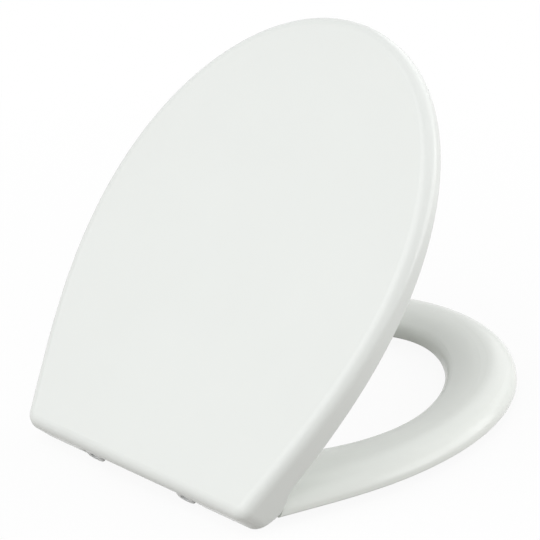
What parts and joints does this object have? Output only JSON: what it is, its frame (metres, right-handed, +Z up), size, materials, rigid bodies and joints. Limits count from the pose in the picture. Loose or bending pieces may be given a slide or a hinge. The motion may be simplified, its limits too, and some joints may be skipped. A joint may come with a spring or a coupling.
{
  "type": "toilet seat",
  "caption": "White moulded toilet seat: a domed oval ring and a shell lid on soft-close hinges, with rubber buffers and hinge feet that drop onto studs on the bowl.",
  "frame": {"origin": "on the plane of the bowl's rim, where the seat's buffers stand, straight below the middle of the hinge line", "axes": "+Z up from the bowl, +Y forward along the seat, +X to the right of a person sitting on it, along the hinge line"},
  "size_m": [0.3536, 0.4419, 0.3567],
  "materials": {
    "lid_plastic": "polished white thermoset",
    "seat_plastic": "polished white thermoset",
    "hinge_plastic": "fine satin",
    "buffer_rubber": "soft matt",
    "damper_plastic": "moulded",
    "rotor_plastic": "moulded",
    "seal_rubber": "matt",
    "bush_plastic": "smooth",
    "pin_steel": "turned"
  },
  "bodies": {
    "seat": {"seat_ring": "seat_plastic", "seat_buffer_front_left": "buffer_rubber", "seat_buffer_front_right": "buffer_rubber", "seat_buffer_rear_left": "buffer_rubber", "seat_buffer_rear_right": "buffer_rubber", "seat_damper_barrel": "damper_plastic", "seat_damper_cap": "bush_plastic", "seat_pivot_bush": "bush_plastic"},
    "lid": {"lid": "lid_plastic", "lid_buffer_left": "buffer_rubber", "lid_buffer_right": "buffer_rubber", "lid_damper_barrel": "damper_plastic", "lid_damper_cap": "bush_plastic", "lid_pivot_bush": "bush_plastic"},
    "hinge_left": {"hinge_body_left": "hinge_plastic", "seat_damper_rotor": "rotor_plastic", "seat_damper_seal": "seal_rubber", "lid_pivot_pin": "pin_steel"},
    "hinge_right": {"hinge_body_right": "hinge_plastic", "lid_damper_rotor": "rotor_plastic", "lid_damper_seal": "seal_rubber", "seat_pivot_pin": "pin_steel"}
  },
  "joints": [
    {"name": "lid_hinge", "type": "hinge", "parent": "seat", "child": "lid", "pos_m": [0, 0, 0.0255], "axis": [1, 0, 0], "range_deg": [-49.2, 55.8]},
    {"name": "left_hinge_swing", "type": "hinge", "parent": "lid", "child": "hinge_left", "pos_m": [0, 0, 0.0255], "axis": [1, 0, 0], "range_deg": [0, 105]},
    {"name": "right_hinge_swing", "type": "hinge", "parent": "lid", "child": "hinge_right", "pos_m": [0, 0, 0.0255], "axis": [1, 0, 0], "range_deg": [0, 105]}
  ]
}
